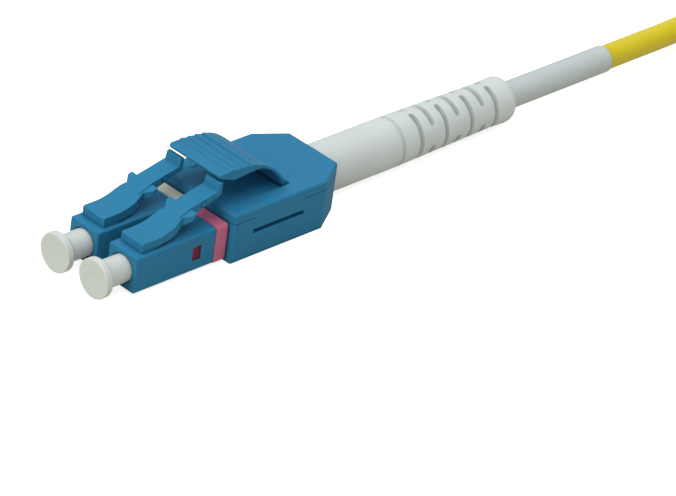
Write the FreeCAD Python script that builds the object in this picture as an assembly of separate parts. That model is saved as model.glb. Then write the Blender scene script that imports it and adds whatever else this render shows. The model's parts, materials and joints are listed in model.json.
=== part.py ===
import FreeCAD, Part
import math
import os

# Duplex LC connector with one round cable, and the patch cord that it ends.
# Origin: centre of the housing's flat bottom face.  +X runs to the cable, +Y to plug b, +Z up.
# Lengths are millimetres.  "From the nose" is measured along +X from the front face of the plugs,
# "over the axis" is measured upwards from the ferrule axes, "over the plug" from the plugs' top.

V = FreeCAD.Vector

# ---- the duplex interface
pitch = 6.25
plugSize = 4.45
plugLength = 11.64
plugEdgeRadius = 0.25

# ---- clearances and cutting aids
runningGap = 0.03
slipGap = 0.05
looseGap = 0.1
bite = 0.5
runOut = 1.0
tiny = 0.001
arcBow = 0.3
parallel = 0.999

# ---- bores and cavity of a plug housing, from the nose
noseBoreRadius = 1.72
noseBoreDepth = 3.6
stopWall = 1.0
stopBoreGap = 0.2
plugWall = 0.575
windowFront = 8.4
windowLength = 1.25
windowLow = 0.9
windowHigh = 0.85

# ---- ferrule, flange and spring
ferruleRadius = 0.625
ferruleLength = 6.5
ferruleProud = 0.5
ferruleChamfer = 0.15
flangeSpace = 0.25
flangeLength = 1.8
flangeCornerCut = 1.06
flangeTailRadius = 0.72
flangeTailLength = 5.0
springWire = 0.24
springTurns = 6
springPlay = 0.12
fibreRadius = 0.45
fibreStart = 7.95
fibreSeat = 1.15

# ---- latch, from the nose; profile heights are over the plug
latchWidth = 3.4
latchBlockFront = 1.15
latchBlockHeight = 1.19
latchBlockFlat = 2.6
latchBlockSoft = 0.12
undercutFrom = 3.0
undercutSlope = 0.225
latchHingeX = 4.6
latchHingeHeight = 0.72
latchKnuckle = 0.36
rampMiddle = (4.6, 1.43)
rampEnd = (6.3, 2.16)
armLine = [(6.8, 2.46), (8.3, 3.06), (12.3, 3.9)]
lipLine = [(12.48, 4.755), (12.6, 4.835)]
lipRear = 13.12
lipRound = 0.1
lipDrop = 0.55
armUnder = [(13.02, 3.40), (11.17, 2.79), (9.18, 2.19)]
rootUnder = [(7.0, 1.37), (6.3, 0.9), (5.4, 0.55)]
armWidth = 2.3
armCorner = 0.25
wingLine = [(7.4, 2.6), (8.35, 2.95)]
wingThickness = 0.4
wingWidth = 4.2
waistWidth = 2.7
footEnd = 5.6
waistAt = 7.0
waistBow = 0.4
wingFront = 7.8
bossRadius = 0.34
bossProud = 0.05
bossGroove = 0.1
bossX = 10.3
bossHeight = 2.98

# ---- dust cap, from the nose
capFlangeRadius = 2.32
capFlangeThickness = 0.85
capFlangeSoft = 0.12
capFaceShare = 0.86
capFront = 4.1
capBarrelRadius = 1.6
capBarrelSoft = 0.2
capTrumpet = 1.1
capDepth = 3.2
capDish = 0.12
capTipRoom = 0.6

# ---- coloured rear body of each plug
collarGap = 0.05
collarRearGap = 0.12
collarLength = 1.86
collarStep = 0.1
collarRadius = 0.42
collarSoft = 0.1
rearNoseLength = 3.5
rearSpringPocket = 2.5
rearTabDepth = 0.15
neckStep = 0.525
tailFlangeStepY = 0.15
tailFlangeStepZ = 0.25
tailFlangeLength = 1.0
tailTubeRadius = 1.15
tailTubeLength = 1.6

# ---- housing, both shells
housingLength = 17.85
housingCrown = 1.325
housingChamferLength = 3.88
housingChamferInset = 2.32
housingCornerRadius = 0.3
housingEdgeRadius = 0.3
frontWall = 1.5
rearWall = 1.55
sideWall = 1.15
cavityGap = 0.085
cavityShoulder = 0.6
floorThickness = 0.6
roofThickness = 0.6
coverDepth = 1.2
partingGroove = 0.09
grooveDepth = 0.12
tabFront = 3.1
tabLength = 7.65
tabDepth = 2.65
tabThickness = 0.8
tabSlot = 0.58
tongueLap = 0.2

# ---- finger trigger; its profile is in shares of its span (front to hinge) and rise (hinge to top)
triggerWidth = 8.26
triggerOverhang = 0.74
triggerGap = 0.5
triggerEdge = 0.42
triggerSoft = 0.13
triggerHingeFrom = 9.6
triggerHingeDepth = 0.5
triggerKnuckle = 0.42
triggerRootRear = 0.38
triggerRootFront = 0.36
triggerRootLift = 0.14
triggerCornerRadius = 0.3
triggerFlat = 0.16
triggerCrown = ((0.394, 0.953), (0.580, 0.886))
triggerCurl = ((0.795, 0.629), (0.940, 0.300))
triggerInnerCurl = [(0.900, 0.305), ((0.775, 0.590), (0.630, 0.765))]
triggerUnder = [(0.552, 0.795), (0.440, 0.780), (0.220, 0.745)]
mouthFlare = 0.55
mouthRear = 0.2
beamLength = 2.2
recessFrom = 1.0
recessLength = 6.5
recessDepth = 0.3
gripRibs = 4
gripFrom = 1.6
gripEnd = 0.2
gripHeight = 0.12
gripSteep = (0.1, 0.7)
gripCrest = 0.3
gripRoot = 0.25
gripInset = 0.02

# ---- cable entry
postNeckRadius = 1.9
postTailRadius = 1.72
postTailLength = 4.6
postRibs = 5
postRibDepth = 0.12
postRibFrom = 0.4
postRibRise = 0.6
postBoreRadius = 1.0
postFlangeWidth = 5.0
postFlangeLength = 1.35
ringWall = 0.4
ringFront = 0.5
ringTaper = 0.3
ringGripLength = 2.8
crimpGap = 0.25
fibreStraight = 0.6
fibreSettle = 3.4

# ---- strain relief boot; its slots are turned a little about the cable, in degrees
bootRadius = 3.0
bootEndRadius = 2.72
bootLength = 31.1
bootSmooth = 12.05
bootGrooveWidth = 0.45
bootGrooveDepth = 0.3
bootFrontSoft = 0.1
bootBellRise = 0.08
bootBellLength = 3.2
bootBellRound = 0.9
bootBellBow = 0.6
bootSkin = 0.3
slotWidth = 0.78
sideSlots = 4
slotsFrom = 3.0
slotPitch = 4.17
sideSlotAngle = 160.0
crownSlotAngle = 116.0
bellySlotAngle = 146.0
slotTurn = -5.0

# ---- marking sleeve and cable
cableRadius = 1.5
sleeveBore = 0.02
sleeveWall = 0.13
sleeveLength = 17.4
sleeveSoft = 0.05

# ---- hank of put-away cable, its tie, and the far end of the cord
hankFront = 89.0
hankStraight = 30.0
hankMiddleY = -7.3
hankInnerFold = 9.0
hankColumns = 2
hankLayers = 4
hankSoft = 1.2
tieThickness = 0.3
tieWidth = 8.0
tieLap = 6.0
leadStraightEnd = 69.5
leadSettled = 78.5
leadEnd = 84.0
farLeadStart = 118.5
farLeadCorner = 127.5
farLeadSettled = 136.5
farReach = 198.4

plugAxisHeight = floorThickness + slipGap + plugSize / 2 - neckStep + tailFlangeStepZ
plugTop = plugAxisHeight + plugSize / 2
neckSize = plugSize - 2 * neckStep
collarSize = plugSize + 2 * collarStep
tailFlangeWidth = neckSize + 2 * tailFlangeStepY
tailFlangeHeight = neckSize + 2 * tailFlangeStepZ
flangeRadius = plugSize / 2 - plugWall - flangeSpace
housingWidth = pitch + tailFlangeWidth + 2 * cavityGap + 2 * sideWall
housingHeight = plugTop + housingCrown
partingHeight = housingHeight - coverDepth
noseX = -housingLength / 2 - collarLength - plugLength
housingFront = -housingLength / 2
housingRear = housingLength / 2
plugRear = noseX + plugLength
bootAxisHeight = bootRadius
bootEnd = housingRear + bootLength
postTailEnd = housingRear + postTailLength
crimpStart = postTailEnd + crimpGap
triggerFrontX = noseX + lipRear - triggerOverhang
triggerTopZ = plugTop + lipLine[-1][1] + triggerGap + triggerEdge
triggerHingeX = housingFront + triggerHingeFrom
triggerHingeZ = housingHeight - triggerHingeDepth
hankOuterFold = hankInnerFold + 2 * cableRadius * (hankColumns - 1)
hankTopLine = hankMiddleY + hankInnerFold
hankLayerZ = tieThickness + cableRadius


def box(xLow, xHigh, yLow, yHigh, zLow, zHigh):
    return Part.makeBox(xHigh - xLow, yHigh - yLow, zHigh - zLow, V(xLow, yLow, zLow))


def squareBar(xLow, xHigh, yMid, zMid, width, height):
    return box(xLow, xHigh, yMid - width / 2, yMid + width / 2, zMid - height / 2, zMid + height / 2)


def rodX(xLow, xHigh, radius, yMid, zMid):
    return Part.makeCylinder(radius, xHigh - xLow, V(xLow, yMid, zMid), V(1, 0, 0))


def rodY(x, z, radius, yLow, yHigh):
    return Part.makeCylinder(radius, yHigh - yLow, V(x, yLow, z), V(0, 1, 0))


def closedFace(path, place):
    """A face from a path of points; three values in a step mean an arc through the middle one."""
    edges = []
    start = place(*path[0])
    here = start
    for step in path[1:] + [path[0]]:
        if len(step) == 2 and isinstance(step[0], tuple):
            middle = place(*step[0])
            end = place(*step[1])
            edges.append(Part.Arc(here, middle, end).toShape())
        else:
            end = place(*step)
            edges.append(Part.LineSegment(here, end).toShape())
        here = end
    return Part.Face(Part.Wire(edges))


def sideExtrusion(path, yLow, yHigh):
    face = closedFace(path, lambda x, z: V(x, yLow, z))
    return face.extrude(V(0, yHigh - yLow, 0))


def planExtrusion(path, zLow, zHigh):
    face = closedFace(path, lambda x, y: V(x, y, zLow))
    return face.extrude(V(0, 0, zHigh - zLow))


def turned(path, yMid, zMid):
    """A solid of revolution about a line parallel to X, from a path of (x, radius) points."""
    face = closedFace(path, lambda x, radius: V(x, yMid, zMid + radius))
    return face.revolve(V(0, yMid, zMid), V(1, 0, 0), 360)


def edgesWhere(shape, test):
    return [edge for edge in shape.Edges if test(edge)]


def runsAlong(edge, direction):
    if not isinstance(edge.Curve, Part.Line):
        return False
    return abs(edge.Curve.Direction.dot(direction)) > parallel


def plugMiddle(side):
    return side * pitch / 2


# ------------------------------------------------------------------ plug housing and its latch


def overPlug(point):
    """A place in X and Z from a distance behind the nose and a height over the plug."""
    return (noseX + point[0], plugTop + point[1])


def rampPath():
    """The latch's top line up the ramp that foot and arm share."""
    return [overPlug((latchBlockFlat, latchBlockHeight)), (overPlug(rampMiddle), overPlug(rampEnd))]


def latchBlock(yMid):
    """The fixed foot of the latch on the front of the plug's top, undercut towards the hinge."""
    foot = [
        overPlug((latchBlockFront, -bite)),
        overPlug((latchBlockFront, latchBlockHeight - latchBlockSoft)),
        overPlug((latchBlockFront + latchBlockSoft, latchBlockHeight)),
    ]
    heel = [
        overPlug((rampEnd[0], (rampEnd[0] - undercutFrom) * undercutSlope)),
        overPlug((undercutFrom, 0)),
        overPlug((undercutFrom, -bite)),
    ]
    whole = sideExtrusion(foot + rampPath() + heel, yMid - latchWidth / 2, yMid + latchWidth / 2)
    keep = box(noseX, noseX + latchHingeX, yMid - plugSize, yMid + plugSize, 0, plugTop + plugSize)
    return whole.common(keep)


def makePlugHousing(yMid):
    half = plugSize / 2
    body = squareBar(noseX, plugRear, yMid, plugAxisHeight, plugSize, plugSize)
    body = body.makeFillet(plugEdgeRadius, edgesWhere(body, lambda e: runsAlong(e, V(1, 0, 0))))
    front = edgesWhere(body, lambda e: e.BoundBox.XMax < noseX + tiny)
    body = body.makeFillet(plugEdgeRadius / 2, front)
    body = body.fuse(latchBlock(yMid))
    socketX = noseX + latchHingeX
    socketZ = plugTop + latchHingeHeight
    cavity = plugSize - 2 * plugWall
    cavityFront = flangeFront()
    windowX = noseX + windowFront
    low = plugAxisHeight - windowLow
    high = plugAxisHeight + windowHigh
    cuts = [
        rodY(socketX, socketZ, latchKnuckle + runningGap, yMid - half, yMid + half),
        rodX(noseX - runOut, noseX + noseBoreDepth, noseBoreRadius, yMid, plugAxisHeight),
        rodX(noseX, cavityFront + runOut, ferruleRadius + stopBoreGap, yMid, plugAxisHeight),
        squareBar(cavityFront, plugRear + runOut, yMid, plugAxisHeight, cavity, cavity),
        box(windowX, windowX + windowLength, yMid - plugSize, yMid + plugSize, low, high),
    ]
    return body.cut(cuts)


def wingPlan(yMid):
    """The wide part of the latch seen from above: foot, waist, then the two ears."""
    foot = latchWidth / 2
    waist = waistWidth / 2
    ear = wingWidth / 2
    middle = ((footEnd + waistAt) / 2, foot - (foot - waist) * waistBow)
    half = [
        (noseX + latchHingeX, foot),
        (noseX + footEnd, foot),
        ((noseX + middle[0], middle[1]), (noseX + waistAt, waist)),
        (noseX + wingFront, ear),
        (noseX + wingLine[-1][0], ear),
    ]
    right = [shiftStep(step, yMid, -1) for step in half]
    left = [
        (noseX + wingLine[-1][0], yMid + ear),
        (noseX + wingFront, yMid + ear),
        (noseX + waistAt, yMid + waist),
        ((noseX + middle[0], yMid + middle[1]), (noseX + footEnd, yMid + foot)),
        (noseX + latchHingeX, yMid + foot),
    ]
    return planExtrusion(right + left, plugTop - bite, plugTop + 2 * plugSize)


def shiftStep(step, yMid, side):
    """One step of a plan path moved to one side of a middle line."""
    if isinstance(step[0], tuple):
        return tuple((x, yMid + side * y) for x, y in step)
    return (step[0], yMid + side * step[1])


def armPlan(yMid):
    half = armWidth / 2
    front = noseX + latchHingeX
    rear = noseX + lipRear
    path = [
        (front, yMid - half),
        (rear - armCorner, yMid - half),
        (rear, yMid - half + armCorner),
        (rear, yMid + half - armCorner),
        (rear - armCorner, yMid + half),
        (front, yMid + half),
    ]
    return planExtrusion(path, plugTop - bite, plugTop + 2 * plugSize)


def makeLatch(yMid):
    hingeX = noseX + latchHingeX
    hingeZ = plugTop + latchHingeHeight
    root = [overPlug(point) for point in rootUnder] + [(hingeX + runningGap, hingeZ - latchKnuckle)]
    rearTop = plugTop + lipLine[-1][1]
    lip = [overPlug(point) for point in lipLine]
    lip.append(((noseX + lipRear - lipRound, rearTop - lipRound), (noseX + lipRear, rearTop - lipDrop)))
    armOutline = rampPath() + [overPlug(point) for point in armLine] + lip
    armOutline += [overPlug(point) for point in armUnder] + root
    wingX, wingTop = wingLine[-1]
    wingOutline = rampPath() + [overPlug(point) for point in wingLine]
    wingOutline += [overPlug((wingX, wingTop - wingThickness))] + root
    reach = latchWidth
    arm = sideExtrusion(armOutline, yMid - reach, yMid + reach).common(armPlan(yMid))
    wings = sideExtrusion(wingOutline, yMid - reach, yMid + reach).common(wingPlan(yMid))
    knuckle = rodY(hingeX, hingeZ, latchKnuckle, yMid - latchWidth / 2, yMid + latchWidth / 2)
    bossZ = plugTop + bossHeight
    reach = armWidth / 2 + bossProud
    boss = rodY(noseX + bossX, bossZ, bossRadius, yMid - reach, yMid + reach)
    moat = rodY(noseX + bossX, bossZ, bossRadius + bossGroove, yMid - reach, yMid + reach)
    core = armWidth / 2 - bossGroove
    moat = moat.cut(rodY(noseX + bossX, bossZ, bossRadius + 2 * bossGroove, yMid - core, yMid + core))
    return arm.cut(moat).fuse([wings, knuckle, boss]).removeSplitter()


# ------------------------------------------------------------------ ferrule, flange, spring, fibre


def makeFerrule(yMid):
    tip = noseX - ferruleProud
    end = tip + ferruleLength
    inner = ferruleRadius - ferruleChamfer
    path = [(tip, 0), (tip, inner), (tip + ferruleChamfer, ferruleRadius), (end, ferruleRadius), (end, 0)]
    return turned(path, yMid, plugAxisHeight)


def flangeFront():
    return noseX + noseBoreDepth + stopWall


def flangeEnd():
    return flangeFront() + flangeLength + flangeTailLength


def makeFerruleFlange(yMid):
    """A hexagonal flange with a hollow tail; the ferrule sits in its front, the fibre in its tail."""
    front = flangeFront()
    shoulder = front + flangeLength
    corner = flangeRadius / math.cos(math.pi / 6)
    points = []
    for k in range(6):
        angle = math.radians(60 * k + 30)
        points.append(V(front, yMid + corner * math.cos(angle), plugAxisHeight + corner * math.sin(angle)))
    hexagon = Part.Face(Part.makePolygon(points + [points[0]])).extrude(V(flangeLength, 0, 0))
    hexagon = hexagon.common(rodX(front, shoulder, flangeRadius * flangeCornerCut, yMid, plugAxisHeight))
    tail = rodX(shoulder, flangeEnd(), flangeTailRadius, yMid, plugAxisHeight)
    seat = rodX(front - runOut, noseX - ferruleProud + ferruleLength, ferruleRadius, yMid, plugAxisHeight)
    boreStart = noseX + fibreStart - fibreSeat
    bore = rodX(boreStart, flangeEnd() + runOut, fibreRadius + slipGap, yMid, plugAxisHeight)
    return hexagon.fuse(tail).cut([seat, bore])


def springEnd():
    return plugRear - rearNoseLength + rearSpringPocket


def makeSpring(yMid):
    start = flangeFront() + flangeLength + springWire / 2
    length = springEnd() - springWire / 2 - start
    radius = flangeTailRadius + springPlay + springWire / 2
    helix = Part.makeHelix(length / springTurns, length, radius)
    section = Part.Wire(Part.makeCircle(springWire / 2, V(radius, 0, 0), V(0, 1, 0)))
    coil = Part.Wire(helix).makePipeShell([section], True, True)
    coil.rotate(V(0, 0, 0), V(0, 1, 0), 90)
    coil.translate(V(start, yMid, plugAxisHeight))
    return coil


def roundedRoute(points, share=0.45):
    """Straight runs joined by tangent arcs, each as large as its two runs allow."""
    edges = []
    radii = []
    here = points[0]
    for before, corner, after in zip(points, points[1:], points[2:]):
        inward = corner - before
        outward = after - corner
        reach = share * min(inward.Length, outward.Length)
        turn = inward.getAngle(outward)
        radii.append(reach / math.tan(turn / 2))
        inward.normalize()
        outward.normalize()
        first = corner - inward * reach
        last = corner + outward * reach
        bisector = outward - inward
        bisector.normalize()
        middle = corner + bisector * radii[-1] * (1 / math.cos(turn / 2) - 1)
        edges.append(Part.LineSegment(here, first).toShape())
        edges.append(Part.Arc(first, middle, last).toShape())
        here = last
    edges.append(Part.LineSegment(here, points[-1]).toShape())
    return Part.Wire(edges), radii


def tubeAlong(points, radius, name):
    """A round cord along a route; prints its bends and its volume against section times length."""
    wire, radii = roundedRoute(points)
    heading = points[1] - points[0]
    section = Part.Wire(Part.makeCircle(radius, points[0], heading))
    tube = wire.makePipeShell([section], True, False)
    share = tube.Volume / (math.pi * radius * radius * wire.Length)
    bends = ", ".join(f"{bend:.1f}" for bend in radii)
    print(f"{name}: {wire.Length:.1f} mm long, bend radii {bends} mm, volume share {share:.4f}")
    return tube


def makeFibre(yMid, side, name):
    """One buffered fibre, from inside the flange's tail to the crimp post's bore."""
    start = noseX + fibreStart
    bendFrom = housingFront + frontWall + tailFlangeLength + tailTubeLength + fibreStraight
    bendTo = housingRear - rearWall - postFlangeLength - fibreSettle
    inPost = side * (fibreRadius + runningGap)
    route = [
        V(start, yMid, plugAxisHeight),
        V(bendFrom, yMid, plugAxisHeight),
        V(bendTo, inPost, bootAxisHeight),
        V(postTailEnd, inPost, bootAxisHeight),
    ]
    return tubeAlong(route, fibreRadius, name)


# ------------------------------------------------------------------ dust cap


def makeDustCap(yMid):
    front = noseX - capFront
    back = front + capFlangeThickness
    neck = back + capTrumpet
    tip = noseX + capDepth
    rim = capFlangeRadius
    soft = capFlangeSoft
    bow = soft * arcBow
    waist = (back + capTrumpet * arcBow, capBarrelRadius + (rim - soft - capBarrelRadius) * arcBow)
    path = [
        (front + capDish, 0),
        (front, rim * capFaceShare),
        (front, rim - soft),
        ((front + bow, rim - bow), (front + soft, rim)),
        (back - soft, rim),
        ((back - bow, rim - bow), (back, rim - soft)),
        (waist, (neck, capBarrelRadius)),
        (tip - capBarrelSoft, capBarrelRadius),
        (tip, capBarrelRadius - capBarrelSoft),
        (tip, 0),
    ]
    room = noseX - ferruleProud - capTipRoom
    bore = rodX(room, tip + runOut, ferruleRadius + slipGap, yMid, plugAxisHeight)
    return turned(path, yMid, plugAxisHeight).cut(bore)


# ------------------------------------------------------------------ coloured rear body


def makeRearBody(yMid):
    """One moulding: the nose that snaps into the plug, the visible collar and the tail in the housing."""
    z = plugAxisHeight
    noseSize = plugSize - 2 * plugWall - 2 * runningGap
    noseStart = plugRear - rearNoseLength
    collarFront = plugRear + collarGap
    collarRear = housingFront - collarRearGap
    nose = squareBar(noseStart, collarFront + bite, yMid, z, noseSize, noseSize)
    tabReach = plugSize / 2 - rearTabDepth
    tab = box(
        noseX + windowFront + slipGap,
        noseX + windowFront + windowLength - slipGap,
        yMid - tabReach,
        yMid + tabReach,
        z - windowLow + slipGap,
        z + windowHigh - slipGap,
    )
    collar = squareBar(collarFront, collarRear, yMid, z, collarSize, collarSize)
    collar = collar.makeFillet(collarRadius, edgesWhere(collar, lambda e: runsAlong(e, V(1, 0, 0))))
    collar = collar.makeFillet(collarSoft, edgesWhere(collar, lambda e: e.BoundBox.XLength < tiny))
    innerFace = housingFront + frontWall + slipGap
    tailEnd = innerFace + tailFlangeLength + tailTubeLength
    neck = squareBar(collarRear - bite, innerFace + bite, yMid, z, neckSize, neckSize)
    flange = squareBar(innerFace, innerFace + tailFlangeLength, yMid, z, tailFlangeWidth, tailFlangeHeight)
    tube = rodX(innerFace, tailEnd, tailTubeRadius, yMid, z)
    pocket = rodX(noseStart - runOut, springEnd(), flangeRadius + looseGap, yMid, z)
    bore = rodX(noseStart, tailEnd + runOut, flangeTailRadius + looseGap, yMid, z)
    return nose.fuse([tab, collar, neck, flange, tube]).cut([pocket, bore]).removeSplitter()


# ------------------------------------------------------------------ housing shells and trigger


def housingPlan(inset):
    half = housingWidth / 2 - inset
    chamferX = housingRear - housingChamferLength
    rearHalf = half - housingChamferInset
    front = housingFront + inset
    rear = housingRear - inset
    return [
        (front, -half),
        (chamferX, -half),
        (rear, -rearHalf),
        (rear, rearHalf),
        (chamferX, half),
        (front, half),
    ]


def housingEnvelope():
    block = planExtrusion(housingPlan(0), 0, housingHeight)
    block = block.makeFillet(housingCornerRadius, edgesWhere(block, lambda e: runsAlong(e, V(0, 0, 1))))
    top = edgesWhere(block, lambda e: e.BoundBox.ZMin > housingHeight - tiny)
    block = block.makeFillet(housingEdgeRadius, top)
    bottom = edgesWhere(block, lambda e: e.BoundBox.ZMax < tiny)
    return block.makeFillet(housingEdgeRadius / 2, bottom)


def layer(low, high):
    """Everything in the housing between two heights."""
    return box(housingFront - runOut, housingRear + runOut, -housingWidth, housingWidth, low, high)


def tabBoxes(gap, low, high):
    """The two snap tabs of the cover, or with a gap the notches that take them."""
    front = housingFront + tabFront - gap
    rear = housingFront + tabFront + tabLength + gap
    inner = housingWidth / 2 - tabThickness - gap
    outer = housingWidth / 2 + runOut
    return [box(front, rear, inner, outer, low, high), box(front, rear, -outer, -inner, low, high)]


def cavityPlan():
    """The hollow inside both shells, narrowed at the back like the outside."""
    half = housingWidth / 2 - sideWall
    front = housingFront + frontWall
    rear = housingRear - rearWall
    shoulder = housingRear - housingChamferLength - cavityShoulder
    rearHalf = half - housingChamferInset * (rear - shoulder) / housingChamferLength
    return [
        (front, -half),
        (shoulder, -half),
        (rear, -rearHalf),
        (rear, rearHalf),
        (shoulder, half),
        (front, half),
    ]


def postNeckHole():
    """The hole for the post's neck, which both shells share; it is open upwards to their parting."""
    radius = postNeckRadius + runningGap
    inside = housingRear - rearWall - bite
    outside = housingRear + runOut
    bore = rodX(inside, outside, radius, 0, bootAxisHeight)
    return bore.fuse(box(inside, outside, -radius, radius, bootAxisHeight, partingHeight + tiny))


def makeLowerHousing():
    shell = housingEnvelope().common(layer(-runOut, partingHeight))
    cuts = tabBoxes(slipGap, housingHeight - tabDepth - tabSlot, partingHeight + runOut)
    cuts.append(planExtrusion(cavityPlan(), floorThickness, partingHeight + runOut))
    cuts.append(postNeckHole())
    for side in (-1, 1):
        yMid = plugMiddle(side)
        low = plugAxisHeight - neckSize / 2 - runningGap
        half = neckSize / 2 + runningGap
        inside = housingFront + frontWall + bite
        cuts.append(box(housingFront - runOut, inside, yMid - half, yMid + half, low, housingHeight))
    return shell.cut(cuts)


def triggerMouth(halfSlot):
    """The opening in the cover that the trigger's root turns in."""
    low = triggerHingeZ
    high = housingHeight + looseGap
    reach = triggerKnuckle
    outline = [
        (triggerHingeX - reach, low),
        (triggerHingeX - reach - mouthFlare, high),
        (triggerHingeX + reach + mouthRear, high),
        (triggerHingeX + reach, low),
    ]
    return sideExtrusion(outline, -halfSlot, halfSlot)


def triggerRecess(halfSlot):
    """A shallow ramp in the cover's top below the trigger, deepest at the trigger's root."""
    rear = triggerHingeX - recessFrom
    outline = [
        (rear - recessLength, housingHeight),
        (rear, housingHeight - recessDepth),
        (rear + bite, housingHeight - recessDepth),
        (rear + bite, housingHeight + looseGap),
        (rear - recessLength, housingHeight + looseGap),
    ]
    return sideExtrusion(outline, -halfSlot, halfSlot)


def makeTopCover():
    region = layer(partingHeight, housingHeight + runOut)
    region = region.fuse(tabBoxes(0, housingHeight - tabDepth, partingHeight + bite))
    shell = housingEnvelope().common(region)
    recess = planExtrusion(cavityPlan(), partingHeight - tiny, housingHeight - roofThickness)
    beam = box(
        triggerHingeX - beamLength / 2,
        triggerHingeX + beamLength / 2,
        -housingWidth / 2,
        housingWidth / 2,
        0,
        housingHeight,
    )
    groove = planExtrusion(housingPlan(-runOut), partingHeight - tiny, partingHeight + partingGroove)
    groove = groove.cut(planExtrusion(housingPlan(grooveDepth), 0, housingHeight))
    groove = groove.cut(tabBoxes(tiny, 0, housingHeight))
    halfSlot = triggerWidth / 2 + looseGap
    socket = rodY(triggerHingeX, triggerHingeZ, triggerKnuckle + runningGap, -halfSlot, halfSlot)
    hollows = [recess.cut(beam), groove, socket, triggerMouth(halfSlot), triggerRecess(halfSlot)]
    shell = shell.cut(hollows)
    tongues = []
    for side in (-1, 1):
        yMid = plugMiddle(side)
        low = plugAxisHeight + neckSize / 2 + runningGap
        half = neckSize / 2
        rear = housingFront + frontWall
        tongues.append(box(housingFront, rear, yMid - half, yMid + half, low, partingHeight + tongueLap))
    return shell.fuse(tongues).cut(postNeckHole()).removeSplitter()


def onTrigger(step):
    """A place in X and Z from shares of the trigger's span and rise; pairs of places stay pairs."""
    if isinstance(step[0], tuple):
        return tuple(onTrigger(place) for place in step)
    x = triggerFrontX + step[0] * (triggerHingeX - triggerFrontX)
    z = triggerHingeZ + step[1] * (triggerTopZ - triggerHingeZ)
    return (x, z)


def triggerTopAt(x):
    """The height of the trigger's top face in its flat and gently falling front half."""
    flatEnd = onTrigger((triggerFlat, 1))
    middle, end = onTrigger(triggerCrown)
    for (x1, z1), (x2, z2) in ((flatEnd, middle), (middle, end)):
        if x1 <= x <= x2:
            return z1 + (z2 - z1) * (x - x1) / (x2 - x1)
    return flatEnd[1] if x < flatEnd[0] else end[1]


def gripRib(index):
    """One saw-tooth rib across the trigger, steep in front and running out to the back."""
    first = triggerFrontX + gripFrom
    spacing = (onTrigger(triggerCrown)[1][0] - gripEnd - first) / gripRibs
    foot = first + index * spacing
    back = foot + spacing
    outline = [
        (foot, triggerTopAt(foot) - gripRoot),
        (foot + spacing * gripSteep[0], triggerTopAt(foot) + gripHeight * gripSteep[1]),
        (foot + spacing * gripCrest, triggerTopAt(foot) + gripHeight),
        (back - gripInset, triggerTopAt(back)),
        (back - gripInset, triggerTopAt(back) - gripRoot),
    ]
    half = triggerWidth / 2 - gripInset
    return sideExtrusion(outline, -half, half)


def makeTrigger():
    low = triggerTopZ - triggerEdge
    half = triggerWidth / 2
    top = [
        (triggerFrontX, triggerTopZ - triggerSoft),
        (triggerFrontX + triggerSoft, triggerTopZ),
        onTrigger((triggerFlat, 1)),
        onTrigger(triggerCrown),
        onTrigger(triggerCurl),
    ]
    root = [
        (triggerHingeX + triggerRootRear, triggerHingeZ + triggerRootLift),
        (triggerHingeX - triggerRootFront, triggerHingeZ + triggerRootLift),
    ]
    under = [onTrigger(step) for step in triggerInnerCurl + triggerUnder]
    sheet = sideExtrusion(top + root + under + [(triggerFrontX + triggerSoft, low)], -half, half)
    atFront = edgesWhere(sheet, lambda e: e.BoundBox.XMax < triggerFrontX + triggerSoft + tiny)
    corners = [edge for edge in atFront if edge.BoundBox.YLength < tiny]
    sheet = sheet.makeFillet(triggerCornerRadius, corners)
    knuckle = rodY(triggerHingeX, triggerHingeZ, triggerKnuckle, -half, half)
    ribs = [gripRib(index) for index in range(gripRibs)]
    return sheet.fuse(ribs + [knuckle]).removeSplitter()


# ------------------------------------------------------------------ crimp parts, boot and sleeve


def makeCrimpPost():
    """The metal post that the shells clamp: a flat-sided flange, a neck, and a ribbed tail."""
    z = bootAxisHeight
    flangeRear = housingRear - rearWall - slipGap
    flangeStart = flangeRear - postFlangeLength
    low = floorThickness + slipGap
    high = partingHeight - slipGap
    flange = box(flangeStart, flangeRear, -postFlangeWidth / 2, postFlangeWidth / 2, low, high)
    neck = rodX(flangeRear - bite, housingRear, postNeckRadius, 0, z)
    valley = postTailRadius - postRibDepth
    path = [(housingRear - bite, 0), (housingRear - bite, postTailRadius)]
    rib = (postTailLength - postRibFrom) / postRibs
    for k in range(postRibs):
        foot = housingRear + postRibFrom + k * rib
        path.append((foot, valley))
        path.append((foot + rib * postRibRise, postTailRadius))
    path.append((postTailEnd, valley))
    path.append((postTailEnd, 0))
    bore = rodX(flangeStart - runOut, postTailEnd + runOut, postBoreRadius, 0, z)
    return flange.fuse([neck, turned(path, 0, z)]).cut(bore)


def makeCrimpRing():
    """A stepped tube: the wide end grips the aramid on the post, the narrow end grips the jacket."""
    front = housingRear + ringFront
    inner = postTailRadius + slipGap
    grip = cableRadius + runningGap
    end = crimpStart + ringGripLength
    path = [
        (front, inner),
        (front, inner + ringWall),
        (crimpStart + looseGap, inner + ringWall),
        (crimpStart + looseGap + ringTaper, grip + ringWall),
        (end, grip + ringWall),
        (end, grip),
        (crimpStart, grip),
        (crimpStart - looseGap, inner),
    ]
    return turned(path, 0, bootAxisHeight)


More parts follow.
